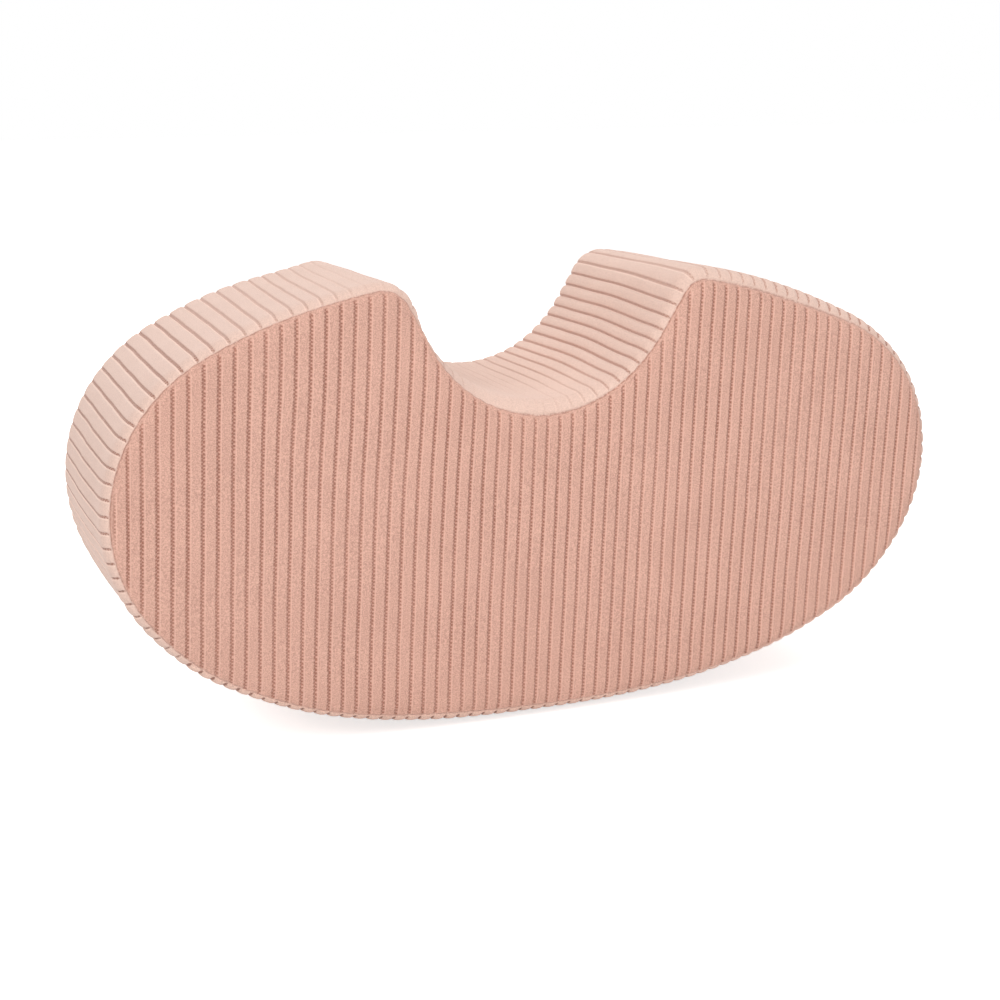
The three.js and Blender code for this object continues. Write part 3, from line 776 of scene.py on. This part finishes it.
def panel_piece(name, edge):
    """A panel with columns round each groove, and closer ones towards its two tips."""
    left, right_end = edge.ends
    first, last = math.ceil((left - edge.phase) / RIB), math.floor((right_end - edge.phase) / RIB)
    grooves = edge.phase + np.arange(first - 1, last + 2) * RIB
    lines = (grooves[:, None] + np.asarray(PANEL_OFFSETS)[None] * mm).ravel()
    lines = np.unique(np.round(lines, 7))
    tips = END_RADIUS * (1 - np.cos(np.radians(np.arange(0, 24, 2.5))))
    lines = lines[(lines > left + tips[-1]) & (lines < right_end - tips[-1])]
    lines = np.r_[left + tips, lines, (right_end - tips)[::-1]]
    return cloth(name, lines, np.arange(-1, LAST_ROW + 2),
                 lambda a, row: panel_place(edge, a, row), panel_velour, turned=edge.side > 0)


front_panel = panel_piece("front_panel_cloth", front_edge)
back_panel = panel_piece("back_panel_cloth", back_edge)

# %% [markdown]
# Under the cover sits the foam block, cut from one slab. It is out of sight, so a merged copy of
# the packed solid is enough. But foam is soft, and the taut cloth presses its rim in: the copy is
# moved in wherever it would come within 5 mm of the cloth, so that no groove lets it through.

# %% The foam block
FOAM_ROOM = 5 * mm


def merged_copy(node, name, material):
    """A copy of a packed solid, whose loose triangles are merged into one shell."""
    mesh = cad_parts[node].data.copy()
    mesh.name = name
    weld(mesh)
    mesh.materials.clear()
    mesh.materials.append(material)
    return placed(name, mesh)


def press_in(piece):
    """Moves the rim of the block in, so that it keeps its distance from the cloth."""
    flat = np.zeros(len(piece.data.vertices) * 3)
    piece.data.vertices.foreach_get("co", flat)
    places = flat.reshape(-1, 3)
    along = np.arange(-HALF_LENGTH, HALF_LENGTH, mm)
    x, z, nx, nz = spot(along)
    k, _ = finder(x, z)(places[:, 0], places[:, 2])
    out = (places[:, 0] - x[k]) * nx[k] + (places[:, 2] - z[k]) * nz[k]
    d = np.maximum(HALF_SPAN - np.abs(places[:, 1]), 0)
    shift = np.minimum(cover_height(along[k], places[:, 1], d) - FOAM_ROOM - out, 0)
    places[:, 0] += nx[k] * shift
    places[:, 2] += nz[k] * shift
    piece.data.vertices.foreach_set("co", places.ravel())
    piece.data.update()
    print(piece.name, "pressed in by up to", round(-shift.min() / mm, 1), "mm")


def foam_finish():
    made = Finish("cut foam", {"Roughness": 1.0, "Specular IOR Level": 0.1})
    cells = made.node("ShaderNodeTexVoronoi", {}, {"Vector": made.place(), "Scale": 900.0},
                      "Distance")
    made.fill(made.shader, {
        "Base Color": made.mix(cells, colour(246, 232, 218), colour(228, 206, 190)),
        "Normal": made.bump(cells, 0.4 * mm, 0.5)})
    return made.material


foam_block = merged_copy("foam_core", "foam_block", foam_finish())
press_in(foam_block)

# %% [markdown]
# The zip lies in a slot along the back panel's lower edge. Each side of it is a woven tape, sewn
# under the edge of the cloth. The tapes are thin sheets swept along the slot, with a low ridge
# where the stitches hold them, and a Solidify modifier gives them their thickness.

# %% The zip's tapes
TAPE_HALF = 250 * mm
SLIT, SLIT_HALF = -8.8 * mm, 0.6 * mm
TAPE_TOP, TAPE_THICKNESS = 122.2 * mm, 0.5 * mm
TAPE_WIDTHS = {1: 8.8 * mm, -1: 10.5 * mm}      # the upper one reaches further under its cloth
WEAVE_ROWS, WEAVE_SLANT, WEAVE_THREADS = 1250, 900, 1400     # repeats in a metre


def tape_finish():
    made = Finish("woven tape", {"Roughness": 0.85, "Sheen Weight": 0.15,
                                 "Specular IOR Level": 0.25})
    u, v = made.pattern()
    rows = ((u * WEAVE_ROWS + v * WEAVE_SLANT).fraction() - 0.5).size() * 2
    threads = ((v * WEAVE_THREADS).fraction() - 0.5).size() * 2
    weave = rows * 0.6 + threads * 0.4
    made.fill(made.shader, {
        "Base Color": made.mix(weave, colour(168, 116, 100), colour(206, 152, 136)),
        "Normal": made.bump(weave, 0.2 * mm, 0.7)})
    return made.material


woven = tape_finish()


def tape_piece(name, side):
    """The lower tape for side 1, the upper one for side -1."""
    inner = SLIT + side * SLIT_HALF

    def place(along, share):
        x, z, _, _ = spot(along, inner + side * TAPE_WIDTHS[side] * share)
        y = TAPE_TOP + 0.15 * mm * np.sin(share * math.pi) + 0.25 * mm * bell(share, 0.62, 0.06)
        return x, y, z, share * 8 * mm, along

    lines = np.linspace(-TAPE_HALF, TAPE_HALF, 201)
    piece = cloth(name, lines, np.linspace(0, 1, 15), place, woven, turned=side < 0)
    thickness = piece.modifiers.new("thickness", "SOLIDIFY")
    thickness.thickness, thickness.offset = TAPE_THICKNESS, -1
    return piece


tape_lower = tape_piece("zip_tape_lower_cloth", 1)
tape_upper = tape_piece("zip_tape_upper_cloth", -1)

# %% [markdown]
# The teeth of such a zip are one nylon thread on each tape, wound round and round. Hundreds of
# separate teeth could be cut from solids. A thread is what the real one is: a curve with a round
# section that winds along the slit, with eight points a turn, made into a mesh.

# %% The zip's coils
TEETH_HALF = 235 * mm
TEETH_MIDDLE = 123.2 * mm
COIL_PITCH, THREAD = 1.3 * mm, 0.24 * mm
COIL_OUT, COIL_HIGH = 0.9 * mm, 0.7 * mm


def nylon_finish():
    made = Finish("nylon coil", {"Specular IOR Level": 0.5, "Coat Weight": 0.2})
    spots = made.lumps(made.place(), 1 / 900)
    made.fill(made.shader, {
        "Base Color": made.mix(spots, colour(176, 124, 108), colour(205, 154, 138)),
        "Roughness": spots * 0.2 + 0.3})
    return made.material


nylon = nylon_finish()


def coil_line(name, side):
    """The wound thread as a curve with a round section."""
    turns = int(2 * TEETH_HALF / COIL_PITCH)
    t = np.linspace(0, turns, turns * 8 + 1)
    middle = SLIT + side * (SLIT_HALF + COIL_OUT)
    out = middle + np.cos(t * 2 * np.pi) * (COIL_OUT - THREAD) * side
    x, z, _, _ = spot(-TEETH_HALF + t * COIL_PITCH + THREAD, out)
    y = TEETH_MIDDLE + np.sin(t * 2 * np.pi) * (COIL_HIGH - THREAD)
    curve = bpy.data.curves.new(name + "_line", "CURVE")
    curve.dimensions = "3D"
    curve.bevel_depth, curve.bevel_resolution, curve.use_fill_caps = THREAD, 1, True
    spline = curve.splines.new("POLY")
    spline.points.add(len(t) - 1)
    spline.points.foreach_set("co", np.c_[x, y, z, np.ones(len(t))].ravel())
    spline.use_smooth = True
    return placed(name + "_line", curve)


def coil_piece(name, side):
    """The thread of the lower row for side 1, of the upper row for side -1, as a mesh."""
    wound = coil_line(name, side)
    mesh = bpy.data.meshes.new_from_object(wound.evaluated_get(
        bpy.context.evaluated_depsgraph_get()))
    bpy.data.objects.remove(wound)
    mesh.name = name
    weld(mesh)
    mesh.materials.clear()
    mesh.materials.append(nylon)
    print(name, sum(len(p.vertices) - 2 for p in mesh.polygons), "triangles")
    return placed(name, mesh)


coil_lower = coil_piece("zip_coil_lower", 1)
coil_upper = coil_piece("zip_coil_upper", -1)

# %% [markdown]
# The slider, its pull and the three stops are small cast and stamped pieces, already right in
# shape. Real ones have no sharp edge, so each gets a merged copy with a small bevel, and a satin
# nickel finish with a fine grain, because it was tumbled and not polished.

# %% The zip's metal
METAL_EDGES = {"zip_slider": 0.16 * mm, "zip_pull": 0.2 * mm, "zip_top_stop_lower": 0.1 * mm,
               "zip_top_stop_upper": 0.1 * mm, "zip_bottom_stop": 0.1 * mm}


def nickel_finish():
    made = Finish("satin nickel", {"Metallic": 1.0})
    grain = made.lumps(made.place(), 1 / 700, 4.0)
    made.fill(made.shader, {
        "Base Color": made.mix(grain, colour(148, 143, 137), colour(186, 182, 176)),
        "Roughness": grain * 0.25 + 0.2,
        "Normal": made.bump(grain, 0.05 * mm, 0.3)})
    return made.material


nickel = nickel_finish()
metal = {}
for node, width in METAL_EDGES.items():
    metal[node] = merged_copy(node, node + "_metal", nickel)
    edges = metal[node].modifiers.new("soft edges", "BEVEL")
    edges.width, edges.segments, edges.limit_method = width, 2, "ANGLE"
    edges.angle_limit = math.radians(40)
print(len(metal), "pieces of metal")

# %% [markdown]
# Each piece rides on the body that carries it and stands for its packed solid, which is hidden. A
# table lists the four cover pieces and the two tapes with the record's finish for each and the size
# they were cut to.

# %% Ride and replace
PANEL_FLAT, PANEL_AREA = (0.81, 0.42), 0.245
TAPE_FLAT = (0.5, 0.0105)


def stands_for(piece, node, body="block"):
    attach(piece, body)
    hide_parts(node)


SHEETS = (
    (front_panel, "front_panel", "velour_panel", PANEL_FLAT, {"area": PANEL_AREA}),
    (back_panel, "back_panel", "velour_panel", PANEL_FLAT, {"area": PANEL_AREA}),
    (base_band, "base_band", "velour_band", base_flat, {}),
    (seat_band, "seat_band", "velour_band", seat_flat, {}),
    (tape_lower, "zip_tape_lower", "zip_tape", TAPE_FLAT, {}),
    (tape_upper, "zip_tape_upper", "zip_tape", TAPE_FLAT, {}),
)
for piece, node, slot, flat, area in SHEETS:
    stands_for(piece, node)
    print(node, "surface", round(sum(p.area for p in piece.data.polygons), 4), "m2")

stands_for(foam_block, "foam_core")
stands_for(coil_lower, "zip_teeth_lower")
stands_for(coil_upper, "zip_teeth_upper")
RIDES = {"zip_slider": "slider", "zip_pull": "pull"}
for node, piece in metal.items():
    stands_for(piece, node, RIDES.get(node, "block"))

# %% [markdown]
# The studio is plain: a pale floor that keeps the object's shadow, and a white surround. More light
# would make both white, but it would wash out the cloth. So they glow only for the camera and for
# reflections, which Light Path tells apart from the light that falls on the object.

# %% Floor
FLOOR_SIZE, FLOOR_PAINT, FLOOR_GLOW = 30, 0.82, 0.66


def seen_directly(nodes):
    """1 for what the camera, a reflection or a glass sees, and 0 for the light on the object."""
    seen = nodes.node("ShaderNodeLightPath", out="Is Camera Ray")
    return seen.at_least(seen.out("Is Glossy Ray")).at_least(seen.out("Is Transmission Ray"))


def grey(level):
    return (level, level, level, 1)


def floor_finish():
    material = bpy.data.materials.new("studio floor")
    material.use_nodes = True
    made = Nodes(material.node_tree)
    made.tree.nodes.clear()
    glow = made.node("ShaderNodeEmission", {}, {"Color": grey(FLOOR_GLOW),
                                                "Strength": seen_directly(made)})
    paint = made.node("ShaderNodeBsdfDiffuse", {}, {"Color": grey(FLOOR_PAINT)})
    both = made.node("ShaderNodeAddShader", {}, {0: glow, 1: paint})
    made.node("ShaderNodeOutputMaterial", {}, {"Surface": both})
    return material


bm = bmesh.new()
bmesh.ops.create_grid(bm, x_segments=1, y_segments=1, size=FLOOR_SIZE)
floor_mesh = bpy.data.meshes.new("floor")
bm.to_mesh(floor_mesh)
bm.free()
floor_mesh.materials.append(floor_finish())
floor = placed("floor", floor_mesh)
floor.location.z = -0.5 * mm
print("floor", 2 * FLOOR_SIZE, "m wide")

# %% [markdown]
# The lamps are soft boxes. The key light comes from the upper left, as the bright left edge of
# every rib in the photograph shows. A low one near the front brightens the middle of the panel, and
# one behind keeps the back view as bright as the front.

# %% Lamps
MIDDLE = (0, 0, 0.2)
LAMPS = (   # name, place, target, width in m, power in W
    ("key", (-2.0, -1.4, 1.95), MIDDLE, 1.2, 36),
    ("top", (0.9, 0.3, 2.4), MIDDLE, 2.0, 25),
    ("front_fill", (0.9, -2.8, 0.9), MIDDLE, 2.4, 10),
    ("low_fill", (0.1, -1.3, 0.2), (0.05, 0, 0.12), 0.5, 3.6),
    ("back_fill", (-0.4, 2.9, 1.0), MIDDLE, 2.4, 34),
)
for name, place, target, width, power in LAMPS:
    lamp = bpy.data.lights.new(name, "AREA")
    lamp.shape, lamp.size, lamp.energy = "SQUARE", width, power
    box = placed(name, lamp)
    box.location = place
    box.rotation_euler = (Vector(target) - Vector(place)).to_track_quat("-Z", "Y").to_euler()
print(len(LAMPS), "lamps,", sum(lamp[-1] for lamp in LAMPS), "W")

# %% The surround
ROOM_LIGHT, WHITE = 0.47, 1.0
world = bpy.data.worlds.new("studio")
bpy.context.scene.world = world
world.use_nodes = True
around = Nodes(world.node_tree)
around.tree.nodes.clear()
strength = seen_directly(around) * (WHITE - ROOM_LIGHT) + ROOM_LIGHT
sky = around.node("ShaderNodeBackground", {}, {"Color": grey(1), "Strength": strength})
around.node("ShaderNodeOutputWorld", {}, {"Surface": sky})
bpy.context.scene.view_settings.view_transform = "Standard"
print("the room lights the object at", ROOM_LIGHT)

# %% [markdown]
